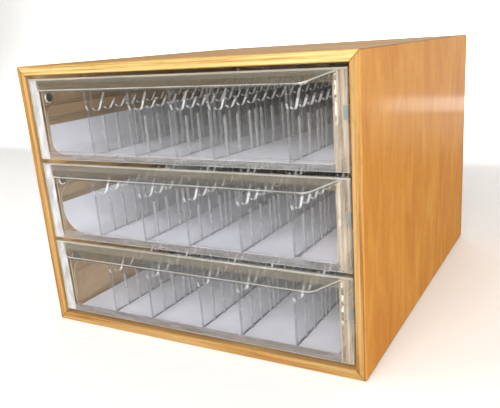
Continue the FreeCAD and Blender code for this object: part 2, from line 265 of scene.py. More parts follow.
# The top board's front edge: painted lighter still, a painted highlight.
TOP_EDGE = [(0.0, "#8C6834"), (0.3, "#A08452"), (0.55, "#AE965E"), (1.0, "#BCA876")]
# Inside of the side boards: unlacquered wood, painted paler for light scattered into the case.
BARE_WOOD_PAINTED_LIGHT = [(0.0, "#DCB07C"), (0.5, "#F0CA92"), (1.0, "#F6D8A8")]
# Underside of the top: painted shade, deep brown.
SHADED = [(0.0, "#2E1A10"), (1.0, "#46291A")]
# Inside of the floor: painted shade, a darker brown than the sides.
FLOOR = [(0.0, "#94744C"), (1.0, "#B89464")]


def dress(node_name, finish):
    """Give one node of the frame a finish and leave its shape alone."""
    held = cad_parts[node_name].data.materials
    held.clear()
    held.append(finish)
    print(node_name, "->", finish.name)


side_wood = wood("honey_lacquered_wood_upright", "Z", FACE, EDGE, BARE_WOOD_PAINTED_LIGHT)
top_wood = wood("honey_lacquered_wood_top", "X", TOP, TOP_EDGE, SHADED, coat=0.08, drawn=9.0)
bottom_wood = wood("honey_lacquered_wood_bottom", "X", TOP, EDGE, FLOOR, mouth=1.0, drawn=9.0)
dress("left_side_panel", side_wood)
dress("right_side_panel", side_wood)
dress("top_panel", top_wood)
dress("bottom_panel", bottom_wood)

# %% [markdown]
# ## Back panel and runners
#
# The back is thin plywood in a groove, never seen from the front except as a brown haze behind the
# dividers. The runners are plain hardwood bars, waxed by years of sliding. Their front ends are
# painted a dark grey-green: painted shade, for the dark gap behind the fronts where they stand.
# Both are wood as well, so the same recipe serves, with colours of their own and no mitre.

# %% Back and runners
PLY = [(0.0, "#866040"), (0.5, "#967048"), (1.0, "#A67E56")]
BAR = [(0.0, "#C09868"), (0.5, "#D0AB7A"), (1.0, "#DCBA8C")]
# The runners' front ends: painted shade.
BAR_END_SHADE = [(0.0, "#363B34"), (0.5, "#454B43"), (1.0, "#545A51")]
dress("back_panel", wood("plywood_back", "Z", PLY, PLY, coat=0.05, drawn=9.0))
runner_wood = wood("waxed_runner_wood", "Y", BAR, BAR_END_SHADE)
for drawer in DRAWERS:
    for side in ("left", "right"):
        dress(drawer + "_" + side + "_runner", runner_wood)

# %% [markdown]
# ## Clear styrene
#
# The drawers are moulded in clear polystyrene, which is glass-like: light goes straight
# through a flat wall, a few percent is mirrored, more at a glancing angle, and age and
# fine scratches add a little milk. True refraction through a dozen walls costs far too
# many bounces, and flat walls hardly bend the view, so a wall is made of three shaders:
# a Transparent one, a white one for the milk and a Glossy one for the mirror, whose
# share rises towards the edge of view as Schlick's rule gives it for an IOR of 1.59.
# Edges are another matter: light travels inside the sheet and leaves it there, so an edge looks
# almost solid, bright and slightly green-grey. That light is painted: the edges take milky finishes
# of their own, and parts of them are painted brighter still as highlights.

# %% Plastic
STYRENE_IOR = 1.59
FACE_ON = ((STYRENE_IOR - 1) / (STYRENE_IOR + 1)) ** 2
GLARE = "#BCBCBC"
SCRATCH_MM = 3.0


def mirror_share(tree):
    """How much a smooth plastic surface mirrors, by Schlick's rule, the same from both sides."""
    facing = add(tree, "LayerWeight", Blend=0.5).outputs["Facing"]
    steep = add(tree, "Math", {"operation": "POWER"}, _0=facing, _1=5.0)
    return add(tree, "Math", MULTIPLY_ADD, _0=steep, _1=1 - FACE_ON, _2=FACE_ON)


def styrene(name, tint, milk, milk_colour, roughness=0.06, scratch=0.2, glow=0.3, spread=0.5,
            cloud_mm=(18, 18, 18)):
    """Clear plastic. What passes takes the tint, and milk is the share that scatters instead.
    Milk varies by its spread in clouds of cloud_mm, and glow is its part lit from behind."""
    material, tree = new_material(name)
    place = add(tree, "TexCoord").outputs["Object"]
    space = add(tree, "Mapping", Vector=place, Scale=[1 / (size * MM) for size in cloud_mm])
    cloud = add(tree, "TexNoise", Vector=space, Scale=1.0, Detail=4.0, Roughness=0.6)
    share = add(tree, "MapRange", Value=cloud, From_Min=0.3, From_Max=0.7,
                To_Min=milk * (1 - spread), To_Max=min(milk * (1 + spread), 1.0))
    # Real scratches are finer than a pixel, so they are drawn as waves of a few millimetres.
    fine = add(tree, "TexNoise", Vector=place, Scale=1 / (SCRATCH_MM * MM), Detail=3.0)
    bump = add(tree, "Bump", Strength=scratch, Distance=0.08 * MM, Height=fine)
    through = add(tree, "BsdfTransparent", Color=srgb(tint))
    lit = add(tree, "BsdfDiffuse", Color=srgb(milk_colour))
    inner = add(tree, "BsdfTranslucent", Color=srgb(milk_colour))
    white = add(tree, "MixShader", _0=glow, _1=lit, _2=inner)
    body = add(tree, "MixShader", _0=share, _1=through, _2=white)
    mirror = add(tree, "BsdfGlossy", Color=srgb(GLARE), Roughness=roughness, Normal=bump)
    whole = add(tree, "MixShader", _0=mirror_share(tree), _1=body, _2=mirror)
    add(tree, "OutputMaterial", Surface=whole)
    return material


print("styrene mirrors", round(FACE_ON, 3), "face on")

# %% [markdown]
# ## Making a piece
#
# A piece is a mesh that is built in code, carries its own finishes and moves with one
# drawer. It could be modelled by hand, but in code its sizes stay the same numbers of
# millimetres as in the construction. Faces name their finish by its place in the piece's
# list of materials.

# %% Piece helpers
SHARP = math.radians(35)


def make_piece(name, mesh_builder, finishes, body, stands_for, bevel_mm=0.0):
    """Build a piece with bmesh, give it finishes, soften its edges and let it ride on a body."""
    shape = bmesh.new()
    mesh_builder(shape)
    bmesh.ops.recalc_face_normals(shape, faces=shape.faces)
    data = bpy.data.meshes.new(name)
    shape.to_mesh(data)
    shape.free()
    for finish in finishes:
        data.materials.append(finish)
    piece = bpy.data.objects.new(name, data)
    bpy.context.scene.collection.objects.link(piece)
    data.shade_smooth()
    data.set_sharp_from_angle(angle=SHARP)
    if bevel_mm:
        soften = piece.modifiers.new("softened edges", "BEVEL")
        soften.width = bevel_mm * MM
        soften.segments = 2
        soften.limit_method = "ANGLE"
        soften.angle_limit = SHARP
    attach(piece, body)
    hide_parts(*stands_for)
    return piece


def prism(shape, outline, to_point, depth, side_finish=0, end_finish=0):
    """A closed prism: outline is a list of (u, v), and to_point(u, v, w) places it for w from
    0 to depth. side_finish may be a function of the outline's edge number."""
    near = [shape.verts.new(to_point(u, v, 0.0)) for u, v in outline]
    far = [shape.verts.new(to_point(u, v, depth)) for u, v in outline]
    for ring in (near, far):
        shape.faces.new(ring).material_index = end_finish
    for i in range(len(outline)):
        after = (i + 1) % len(outline)
        face = shape.faces.new((near[i], near[after], far[after], far[i]))
        face.material_index = side_finish(i) if callable(side_finish) else side_finish


print("piece helpers ready; edges turn sharp at", round(math.degrees(SHARP)), "degrees")

# %% [markdown]
# ## The loose dividers
#
# Each divider is a thin leaf with a tab at both ends and a scalloped comb between them. Its faces
# are almost invisible. What the eye follows is its edge, above all the flanks of the comb that lean
# towards the front: their bright hooks are painted highlights, a white milky finish on the part of
# each flank that faces the light. The lower part of its front edge is painted darker as painted
# shade, its foot carries a painted contact shadow, and upright ribs stiffen its right-hand face.
# One finish for the whole leaf would lose all this, so the outline is a list of points that also
# say how the edge after them is finished.

# %% Divider finishes
leaf = styrene("clear_styrene_divider", "#FDFDFD", 0.01, "#D8D8DA")
leaf_edge = styrene("styrene_divider_edge", "#EEEFEE", 0.14, "#D4D5D6", roughness=0.12, spread=0.25)
# Painted shade on the lower part of the front edge.
leaf_front = styrene("styrene_divider_front_edge_painted_shade", "#D8D8DC", 0.32, "#8E8E96", roughness=0.12,
                     scratch=0.1, spread=0.15)
# Painted contact shadow along the foot.
leaf_foot = styrene("styrene_divider_foot_painted_shadow", "#8C8B8E", 0.05, "#B0B0B4", roughness=0.12, scratch=0.3)
# Painted highlights: the lit part of each comb flank, and a softer one beyond it.
flank_bright = styrene("styrene_comb_painted_highlight", "#FAFAFA", 0.8, "#FAFCFF", roughness=0.08,
                       glow=0.25, spread=0.1)
flank_soft = styrene("styrene_comb_soft_painted_highlight", "#FAFAFA", 0.35, "#FAFCFF", roughness=0.08,
                     glow=0.25, spread=0.2)
leaf_rib = styrene("clear_styrene_rib", "#FBFBFB", 0.38, "#C3C6C9", roughness=0.15, scratch=0.0,
                   spread=0.05)
LEAF_FINISHES = [leaf, leaf_edge, leaf_rib, flank_bright, leaf_foot, flank_soft, leaf_front]
CLEAR, FAINT, RIB, BRIGHT, DARK, SOFT, FRONT = range(7)
print(len(LEAF_FINISHES), "finishes for a divider")

# %% Comb
LEAF_HEIGHT = 63.0
CREST_HEIGHT = 45.5
TAB_WIDTH = 7.2
TAB_BEVEL = 1.5
TOE_SETBACK = 1.6
TOE_HEIGHT = 39.0
TOE_SLOPE = 4.0
PRONG_HEIGHT = 52.0
PRONG_REACH = 16.2
PRONG_TIP = 1.0
PRONG_ROOT = 14.5
PRONG_LIT = 0.45
NOTCH_PITCH = 14.8
NOTCH_DEPTH = 8.2
NOTCH_STEPS = 9
NOTCH_LIT = 0.65
LEAN = math.radians(42.0)


def notch(start, radius):
    """One notch as (along, up, finish of the edge that begins here), up to where its far side
    leans away."""
    low = CREST_HEIGHT - NOTCH_DEPTH
    points = []
    for step in range(NOTCH_STEPS + 1):
        turn = math.pi + (math.pi - LEAN) * step / NOTCH_STEPS
        across, up = radius * (1 + math.cos(turn)), radius * (1 + math.sin(turn))
        # Past its first steps the arc is painted as a highlight.
        points.append((start + across, low + up, BRIGHT if step > 1 else FAINT))
    return points


def flank(points, to, lit):
    """The far side of a notch up to a point: a painted highlight for its lit share, then a softer
    one.
    """
    u, v, _ = points[-1]
    points.append((u + (to[0] - u) * lit, v + (to[1] - v) * lit, SOFT))
    points.append((*to, FAINT))


def comb(length):
    """The comb from the front tab to the rear one: a notch, the tall prong, and equal notches."""
    first = TAB_WIDTH + PRONG_ROOT
    run = length - TAB_WIDTH - first
    count = round(run / NOTCH_PITCH)
    pitch = run / count
    across = 1 + math.cos(LEAN) - math.tan(LEAN) * (1 - math.sin(LEAN))
    radius = (pitch - NOTCH_DEPTH * math.tan(LEAN)) / across
    points = notch(TAB_WIDTH, radius)
    tip = TAB_WIDTH + PRONG_REACH
    flank(points, (tip, PRONG_HEIGHT), PRONG_LIT)
    points += [(tip + PRONG_TIP, PRONG_HEIGHT, FAINT), (first, CREST_HEIGHT, FAINT)]
    for index in range(count):
        points += notch(first + pitch * index, radius)
        flank(points, (first + pitch * (index + 1), CREST_HEIGHT), NOTCH_LIT)
    return points


def leaf_end():
    """The front end of a leaf, from its foot to the back of its tab."""
    return [(TOE_SETBACK, 0.0, FAINT), (TOE_SETBACK, TOE_HEIGHT, SOFT),
            (0.0, TOE_HEIGHT + TOE_SLOPE, FAINT), (0.0, LEAF_HEIGHT - TAB_BEVEL, FAINT),
            (TAB_BEVEL, LEAF_HEIGHT, FAINT), (TAB_WIDTH - TAB_BEVEL, LEAF_HEIGHT, FAINT),
            (TAB_WIDTH, LEAF_HEIGHT - TAB_BEVEL, FAINT)]


straight_low, straight_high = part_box("top_drawer_divider_1")
leaf_length = (straight_high.y - straight_low.y) / MM
print("a leaf is", round(leaf_length, 1), "mm long; its comb has", len(comb(leaf_length)), "points")

# %% Dividers
LEAF_MM = 2.2
LEAF_BEVEL = 0.12
RIB_FIRST = 18.0
RIB_PITCH = 17.2
RIB_HEIGHT = 32.5
RIB_PROUD = 1.0
# Half of a rib's arched section, as (along, out) in mm. It starts a little inside the leaf.
RIB_HALF = [(2.0, -0.05), (1.6, RIB_PROUD * 0.55), (0.7, RIB_PROUD)]
TURNED = {"top_drawer_divider_4": 5.8}


def rib_places(length):
    """Middles of the ribs, with one more in the third gap from each end."""
    last = length - RIB_FIRST
    gaps = round((last - RIB_FIRST) / RIB_PITCH)
    pitch = (last - RIB_FIRST) / gaps
    extra = RIB_FIRST + pitch * 2.5
    return [RIB_FIRST + pitch * i for i in range(gaps + 1)] + [extra, length - extra]


def divider_builder(node_name, length):
    """A function that fills a mesh with one divider where its node stands."""
    low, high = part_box(node_name)
    turn = math.radians(TURNED.get(node_name, 0.0))
    left = low.x / MM
    front = low.y / MM + LEAF_MM * math.sin(turn)
    arch = [(-along, out) for along, out in RIB_HALF] + RIB_HALF[::-1]

    def spot(across, along, up):
        """A point of the leaf, which may stand askew on its front left corner."""
        x = left + across * math.cos(turn) + along * math.sin(turn)
        y = front - across * math.sin(turn) + along * math.cos(turn)
        return (x * MM, y * MM, low.z + up * MM)

    def build(shape):
        rear_end = [(length - u, v, FAINT) for u, v, _ in reversed(leaf_end())]
        outline = leaf_end() + comb(length) + rear_end
        finishes = [finish for _, _, finish in outline]
        # The lower front edge is painted shade and the foot a painted contact shadow.
        finishes[0], finishes[-1] = FRONT, DARK
        prism(shape, [(u, v) for u, v, _ in outline], lambda u, v, w: spot(w, u, v), LEAF_MM,
              side_finish=lambda i: finishes[i], end_finish=CLEAR)
        for place in rib_places(length):
            prism(shape, arch, lambda u, v, w: spot(LEAF_MM + v, place + u, w), RIB_HEIGHT,
                  side_finish=RIB, end_finish=FAINT)

    return build


dividers = []
for drawer in DRAWERS:
    for number in range(1, 6):
        node_name = drawer + "_drawer_divider_" + str(number)
        dividers.append(make_piece(
            drawer + "_divider_leaf_" + str(number), divider_builder(node_name, leaf_length),
            LEAF_FINISHES, drawer + "_drawer", [node_name], bevel_mm=LEAF_BEVEL))
print(len(dividers), "dividers,", len(dividers[0].data.polygons), "faces each")

# %% [markdown]
# ## The drawer fronts
#
# A front is one moulding. Its plate is a relief: a fine raised rim all round, a shallow
# field inside it, and a window that stands proud of the field. It could be joined from
# blocks, but every hidden wall between them would show in a clear material. Built as a
# grid instead, it stays one closed skin. The grid's lines lie only where the relief
# changes, with a few more for the runners' ends and the uneven margins.

# %% Front finishes
# The margins' moulded texture is milky, and the colour of its milk is painted light: whitish window
# light on the left, wood-coloured light on the right, and greys and beiges below and above the
# window for what lies behind them. Where a runner's end stands right behind the plate, a darker
# painted shadow sits on the margin. The step below the window is painted dark, a painted shade
# along the paper's front edge. Their streaks run up and down at the sides, and level above and
# below the window.
UPRIGHT = {"roughness": 0.2, "scratch": 0.3, "glow": 0.2, "cloud_mm": (2.2, 2.2, 60)}
LEVEL = {"roughness": 0.15, "scratch": 0.3, "glow": 0.2, "cloud_mm": (60, 4, 4)}
EDGE_ON = {"roughness": 0.15, "scratch": 0.3, "glow": 0.5, "spread": 0.25}
pane = styrene("clear_styrene_pane", "#FEFEFE", 0.006, "#E6E6E4", roughness=0.04)
margin_left = styrene("styrene_margin_painted_window_light", "#FBFBFA", 0.7, "#C4C5C8", roughness=0.2,
                      scratch=0.4, glow=0.2, spread=0.35, cloud_mm=(5, 5, 14))
margin_right = styrene("styrene_margin_painted_wood_light", "#FBF6EC", 0.5, "#B5A896", spread=0.7,
                       **UPRIGHT)
# Painted shadow where a runner's end stands behind the plate.
margin_shade = styrene("styrene_margin_painted_runner_shadow", "#E6E8E6", 0.7, "#868C86", spread=0.15,
                       **UPRIGHT)
margin_low = styrene("styrene_lower_margin", "#FAF9F8", 0.48, "#908E90", roughness=0.15,
                     scratch=0.3, glow=0.2, spread=0.4, cloud_mm=(20, 3, 3))
margin_high = styrene("styrene_upper_margin", "#F6F2E8", 0.4, "#948B76", **LEVEL)
# The step below the window: painted shade along the paper's front edge.
sill = styrene("styrene_window_sill_painted_shade", "#D8D2CC", 0.4, "#786C64", spread=0.4, **LEVEL)
rim_high = styrene("styrene_upper_rim", "#F6F4EE", 0.55, "#CEC8BA", spread=0.3,
                   **{**LEVEL, "glow": 0.4})
rim_plastic = styrene("styrene_rim", "#F4F5F2", 0.2, "#D8DAD4", **EDGE_ON)
edge_plastic = styrene("styrene_edge", "#FAFBFA", 0.5, "#DFE0D8", **EDGE_ON)
# The lip's own streaks follow its length, and it is milkier at its root.
awning = styrene("clear_styrene_lip", "#ECECEB", 0.14, "#82817E", roughness=0.12, scratch=0.15,
                 glow=0.2, cloud_mm=(30, 5, 5))
awning_root = styrene("clear_styrene_lip_root", "#F2F0EA", 0.28, "#A8A49A", roughness=0.12,
                      scratch=0.15, glow=0.2, spread=0.3, cloud_mm=LEVEL["cloud_mm"])
ear_rim = styrene("styrene_ear_edge", "#F2EDE0", 0.38, "#DDD2BC", roughness=0.12, glow=0.4,
                  spread=0.25)
# Painted highlight on the lower front of each eyelet's ring.
ring_plastic = styrene("styrene_eyelet_ring_painted_highlight", "#F4F5F4", 0.85, "#FAFAF8", roughness=0.1)
eyelet_shade = styrene("styrene_eyelet_shade", "#4E5854", 0.35, "#6C7873", roughness=0.1)
FRONT_FINISHES = [pane, margin_left, rim_plastic, awning, ring_plastic, eyelet_shade,
                  margin_right, margin_low, margin_high, edge_plastic, awning_root,
                  margin_shade, ear_rim, rim_high, sill]
(PANE, MARGIN_LEFT, RIM, LIP, RING, EYELET_SHADE, MARGIN_RIGHT, MARGIN_LOW, MARGIN_HIGH,
 LIT_EDGE, LIP_ROOT, MARGIN_SHADE, EAR_RIM, RIM_HIGH, SILL) = range(len(FRONT_FINISHES))
print(len(FRONT_FINISHES), "finishes for a front")

# %% Relief of the plate
PLATE_BACK = -179.0
FRONT_THICKNESS = 2.5
PLATE_FACE = PLATE_BACK - FRONT_THICKNESS
RIM_WIDTH = 1.6
RIM_PROUD = 0.4
RIM_ROUND = 0.4
RIM_ROUND_SHARE = 0.75
FIELD = PLATE_FACE + RIM_PROUD
WINDOW_PROUD = 0.5
WINDOW_HALF = 139.5
WINDOW_TOP_DROP = 9.6
WINDOW_BOTTOM = 8.0
SLOPE = 0.25
WAVE_PROUD = 0.22
WAVE_MM = (5, 11)


def relief_stops(low, high, window_low, window_high):
    """Where the relief changes along one direction, from one side of the plate to the other."""
    stops = [low, low + RIM_ROUND, low + RIM_WIDTH - SLOPE, low + RIM_WIDTH]
    stops += [window_low - SLOPE, window_low, window_high, window_high + SLOPE]
    return stops + [high - RIM_WIDTH, high - RIM_WIDTH + SLOPE, high - RIM_ROUND, high]


def relief(place, low, high, window_low, window_high):
    """Height of the relief over the field at one place along one direction: (rim, window)."""
    from_edge = min(place - low, high - place)
    into_window = min(place - window_low, window_high - place)
    rim = 1.0 if from_edge < RIM_WIDTH - SLOPE / 2 else 0.0
    if from_edge < RIM_ROUND / 2:
        rim = RIM_ROUND_SHARE
    return rim, 1.0 if into_window > -SLOPE / 2 else 0.0


def skin(x, z, left, right, height):
    """Where along Y the plate's front lies at one point. The margins are slightly wavy."""
    rim_x, in_x = relief(x, left, right, -WINDOW_HALF, WINDOW_HALF)
    rim_z, in_z = relief(z, 0.0, height, WINDOW_BOTTOM, height - WINDOW_TOP_DROP)
    depth = FIELD - RIM_PROUD * max(rim_x, rim_z) - WINDOW_PROUD * in_x * in_z
    if rim_x == rim_z == in_x == 0.0:
        depth -= WAVE_PROUD * noise.noise(Vector((x / WAVE_MM[0], z / WAVE_MM[1], left)))
    return depth


print("plate: field", FIELD, "mm, window proud", WINDOW_PROUD)

# %% Front plate
FRONT_CORNER = 0.5
MARGIN_PITCH = 1.1
MARGIN_LINES = 8
WINDOW_ROWS = 12
RUNNER_INNER = 146.0
RUNNER_SPAN = (36.6, 46.6)
LEAST_GAP = 1.0


def grid_lines(left, right, height):
    """The grid's lines: xs from left to right and zs from the bottom up."""
    xs = relief_stops(left, right, -WINDOW_HALF, WINDOW_HALF)
    extra = [left + RIM_WIDTH + MARGIN_PITCH * i for i in range(1, MARGIN_LINES + 1)]
    window_high = height - WINDOW_TOP_DROP
    zs = relief_stops(0.0, height, WINDOW_BOTTOM, window_high) + list(RUNNER_SPAN)
    for i in range(1, WINDOW_ROWS):
        z = WINDOW_BOTTOM + (window_high - WINDOW_BOTTOM) * i / WINDOW_ROWS
        if min(abs(z - end) for end in RUNNER_SPAN) > LEAST_GAP:
            zs.append(z)
    return sorted(xs + extra + [-x for x in extra]), sorted(zs)


def plate_finish(x, z, left, right, height):
    """The finish of the grid's cell whose middle is at x and z."""
    window_high = height - WINDOW_TOP_DROP
    beside = abs(x) > WINDOW_HALF
    level = WINDOW_BOTTOM < z < window_high
    upright_step = abs(abs(x) - WINDOW_HALF) < SLOPE and level
    level_step = not beside and min(abs(z - WINDOW_BOTTOM), abs(z - window_high)) < SLOPE
    # The left rim is painted as a lit edge, a painted highlight.
    if x - left < RIM_WIDTH:
        return LIT_EDGE
    if height - z < RIM_WIDTH or z < RIM_ROUND:
        return RIM_HIGH
    if upright_step or level_step:
        # Below the window the step is painted shade.
        return SILL if z < WINDOW_BOTTOM + SLOPE else RIM
    if right - x < RIM_ROUND:
        return RIM
    if level and not beside:
        return PANE
    # Painted shadow of a runner's end behind the plate.
    if x > RUNNER_INNER and RUNNER_SPAN[0] < z < RUNNER_SPAN[1]:
        return MARGIN_SHADE
    if beside:
        return MARGIN_LEFT if x < 0 else MARGIN_RIGHT
    return MARGIN_LOW if z < WINDOW_BOTTOM else MARGIN_HIGH


def around(rows):
    """The outer points of a grid in rows, once round from its first corner."""
    ahead = rows[0] + [row[-1] for row in rows[1:]]
    return ahead + rows[-1][-2::-1] + [row[0] for row in rows[-2:0:-1]]


def plate_faces(shape, low, high):
    """The plate of one front: a relief grid in front, a flat back and four edges."""
    left, right = low.x / MM, high.x / MM
    height = (high.z - low.z) / MM
    xs, zs = grid_lines(left, right, height)
    front, rear = [], []
    for z in zs:
        row, behind = [], []
        for x in xs:
            corner = x in (left, right) and z in (0.0, height)
            shift = FRONT_CORNER if corner else 0.0
            px = (x - math.copysign(shift, x)) * MM
            pz = low.z + (z + (shift if z == 0.0 else -shift)) * MM
            row.append(shape.verts.new((px, skin(x, z, left, right, height) * MM, pz)))
            edge = x in (left, right) or z in (0.0, height)
            behind.append(shape.verts.new((px, PLATE_BACK * MM, pz)) if edge else None)
        front.append(row)
        rear.append(behind)
    for j in range(len(zs) - 1):
        for i in range(len(xs) - 1):
            cell = (front[j][i], front[j][i + 1], front[j + 1][i + 1], front[j + 1][i])
            middle = ((xs[i] + xs[i + 1]) / 2, (zs[j] + zs[j + 1]) / 2)
            shape.faces.new(cell).material_index = plate_finish(*middle, left, right, height)
    border, ahead = around(rear), around(front)
    shape.faces.new(border).material_index = PANE
    for i in range(len(border)):
        after = (i + 1) % len(border)
        side = (border[i], border[after], ahead[after], ahead[i])
        shape.faces.new(side).material_index = LIT_EDGE


plate_low, plate_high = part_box("top_drawer_front")
columns, levels = grid_lines(plate_low.x / MM, plate_high.x / MM, (plate_high.z - plate_low.z) / MM)
print("a plate's grid has", len(columns), "by", len(levels), "lines")

# %% [markdown]
# ## Pull lip and ears
#
# The lip is an awning 2.2 mm thick that leans out and down from the top of the plate. A bent slab
# would do for its shape, but it has rounded corners and a nose, so it is swept in rows from its
# root to its tip, each row as long as the tapered outline allows. Its nose and the upper half of
# its slanted ends take the edge finish, a painted highlight where its light comes out. Behind the
# plate, two ears lap inside the tray's walls, each with a round eyelet in a raised ring. The eyelet
# is closed by a dark disc, a painted shade, and the lower front of the ring is painted as a
# highlight.

# %% Lip
LIP_DROP = 1.6
LIP_FALL = 6.6
LIP_REACH = 15.4
LIP_THICK = 2.2
LIP_CROWN = 0.3
LIP_TAPER = 18.0
LIP_CORNER = 16.0
LIP_END_INSET = 8.6
LIP_ROWS = 16
LIP_ROOT_ROWS = 5
NOSE_MM = 0.5
NOSE_STEPS = 5
NOSE_LIT_ROWS = 2


def lip_half_width(out, root_half):
    """Half the lip's length where it has come out by so much."""
    slant = math.atan2(LIP_REACH, LIP_TAPER)
    rounded = out - (LIP_REACH - LIP_CORNER)
    if rounded <= LIP_CORNER * math.cos(slant):
        return root_half - LIP_TAPER * out / LIP_REACH
    centre = root_half - LIP_TAPER - LIP_CORNER * math.tan(slant / 2)
    return centre + math.sqrt(max(LIP_CORNER ** 2 - rounded ** 2, 0.0))


def lip_rows(root_half, top):
    """The lip's rows as (out, height, half its length): over the top, the nose, and back."""
    upper = []
    for row in range(LIP_ROWS + 1):
        out = LIP_REACH * math.sin(row / LIP_ROWS * math.pi / 2)
        share = out / LIP_REACH
        fall = LIP_FALL * out / LIP_REACH - LIP_CROWN * 4 * share * (1 - share)
        upper.append((out, top - fall, lip_half_width(out, root_half)))
    _, tip_height, tip_half = upper[-1]
    upper[-1] = (LIP_REACH - NOSE_MM, tip_height, tip_half)
    nose = []
    for step in range(1, NOSE_STEPS):
        turn = math.pi * step / NOSE_STEPS
        nose.append((LIP_REACH - NOSE_MM + NOSE_MM * math.sin(turn),
                     top - LIP_FALL - LIP_THICK / 2 * (1 - math.cos(turn)), tip_half))
    return upper + nose + [(out, z - LIP_THICK, half) for out, z, half in reversed(upper)]


def lip_faces(shape, low, high):
    """The awning: a strip over its rows, two ends in an upper and a lower half, and the root."""
    rows = lip_rows((high.x - low.x) / 2 / MM - LIP_END_INSET, high.z / MM - LIP_DROP)
    ends = []
    for side in (-1, 1):
        ends.append([shape.verts.new((side * half * MM, (PLATE_FACE - out) * MM, z * MM))
                     for out, z, half in rows])
    last = len(rows) - 1
    for i in range(last):
        finish = LIP_ROOT if i < LIP_ROOT_ROWS else LIP
        if LIP_ROWS <= i < LIP_ROWS + NOSE_LIT_ROWS:
            finish = LIT_EDGE
        face = shape.faces.new((ends[0][i], ends[0][i + 1], ends[1][i + 1], ends[1][i]))
        face.material_index = finish
    halves = []
    for side in ends:
        half = [shape.verts.new((side[i].co + side[last - i].co) / 2) for i in range(LIP_ROWS + 1)]
        for i in range(LIP_ROWS):
            j = last - i
            shape.faces.new((side[i], side[i + 1], half[i + 1], half[i])).material_index = LIT_EDGE
            shape.faces.new((half[i], half[i + 1], side[j - 1], side[j])).material_index = LIP
        nose = side[LIP_ROWS:LIP_ROWS + NOSE_STEPS + 1]
        shape.faces.new(nose + [half[LIP_ROWS]]).material_index = LIT_EDGE
        halves.append(half)
    root = (ends[0][-1], halves[0][0], ends[0][0], ends[1][0], halves[1][0], ends[1][-1])
    shape.faces.new(root).material_index = LIP


print("lip: falls", LIP_FALL, "mm over a reach of", LIP_REACH)

# %% Ears and fronts
EAR_THICK = 1.5
EAR_RADIUS = 8.0
EAR_SETBACK = 6.5
EAR_DROP = 17.0
EAR_FILLET = 12.0
EAR_STRIP = 2.0
EAR_FOOT = 6.1
EAR_STEPS = 12
FILLET_STEPS = 8
EYELET = 3.8
# The raised ring's section as (beyond the eyelet, proud of the ear) in mm.
RING_SECTION = [(0.0, 0.0), (0.0, 0.75), (0.3, 0.95), (0.6, 0.8), (1.0, 0.0)]
RING_STEPS = 28
RING_LIT = (0.38, 0.8)


def ear_outline(height):
    """The ear's edge as (distance behind the plate, height), rounded by short steps."""
    centre_z = height - EAR_DROP
    fillet_y = EAR_STRIP + EAR_FILLET
    reach = EAR_RADIUS + EAR_FILLET
    fillet_z = centre_z - math.sqrt(reach ** 2 - (fillet_y - EAR_SETBACK) ** 2)
    lean = math.atan2(fillet_z - centre_z, fillet_y - EAR_SETBACK)
    points = [(0.0, EAR_FOOT), (0.0, centre_z + EAR_RADIUS)]
    for step in range(EAR_STEPS + 1):
        turn = math.pi / 2 + (lean - math.pi / 2) * step / EAR_STEPS
        points.append((EAR_SETBACK + EAR_RADIUS * math.cos(turn),
                       centre_z + EAR_RADIUS * math.sin(turn)))
    for step in range(1, FILLET_STEPS + 1):
        turn = math.pi + lean - lean * step / FILLET_STEPS
        points.append((fillet_y + EAR_FILLET * math.cos(turn),
                       fillet_z + EAR_FILLET * math.sin(turn)))
    points.append((EAR_STRIP, EAR_FOOT))
    return points


def ear_faces(shape, low, high, side):
    """One ear and the ring round its eyelet."""
    height = (high.z - low.z) / MM
    inner_face = WINDOW_HALF - EAR_THICK

    def on_ear(behind, up, out):
        """A point of the ear, so far behind the plate, above its foot and out of its inner face."""
        return (side * (inner_face + out) * MM, (PLATE_BACK + behind) * MM, low.z + up * MM)

    prism(shape, ear_outline(height), on_ear, EAR_THICK, side_finish=EAR_RIM, end_finish=PANE)
    rings = []
    for beyond, proud in RING_SECTION:
        ring = []
        for i in range(RING_STEPS):
            turn = 2 * math.pi * i / RING_STEPS
            behind = EAR_SETBACK + (EYELET + beyond) * math.cos(turn)
            up = height - EAR_DROP + (EYELET + beyond) * math.sin(turn)
            ring.append(shape.verts.new(on_ear(behind, up, -proud)))
        rings.append(ring)
    for inner, outer in zip(rings, rings[1:]):
        for i in range(RING_STEPS):
            after = (i + 1) % RING_STEPS
            # The lower front of the ring is painted as a highlight.
            lit = RING_LIT[0] < i / RING_STEPS < RING_LIT[1]
            face = shape.faces.new((inner[i], inner[after], outer[after], outer[i]))
            face.material_index = RING if lit else RIM
    # The eyelet is closed by a dark disc: painted shade where the hole would be.
    shape.faces.new(rings[0]).material_index = EYELET_SHADE


def front_builder(node_name):
    """A function that fills a mesh with one whole front."""
    low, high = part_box(node_name)

    def build(shape):
        plate_faces(shape, low, high)
        lip_faces(shape, low, high)
        ear_faces(shape, low, high, -1)
        ear_faces(shape, low, high, 1)

    return build


for drawer in DRAWERS:
    node_name = drawer + "_drawer_front"
    moulding = make_piece(drawer + "_front_moulding", front_builder(node_name), FRONT_FINISHES,
                          drawer + "_drawer", [node_name])
    print(moulding.name, len(moulding.data.polygons), "faces")

# %% [markdown]
# ## Weld seam
#
# Each tray's right wall is welded to its front. Where the plastic ran, air stayed behind
# as a row of bright and dark bubbles along the upper half of the seam, and below them
# only a thin dark line is left. Real bubbles could be modelled one by one, but they are
# small and lie inside the joint, so a noise in the finish draws them.

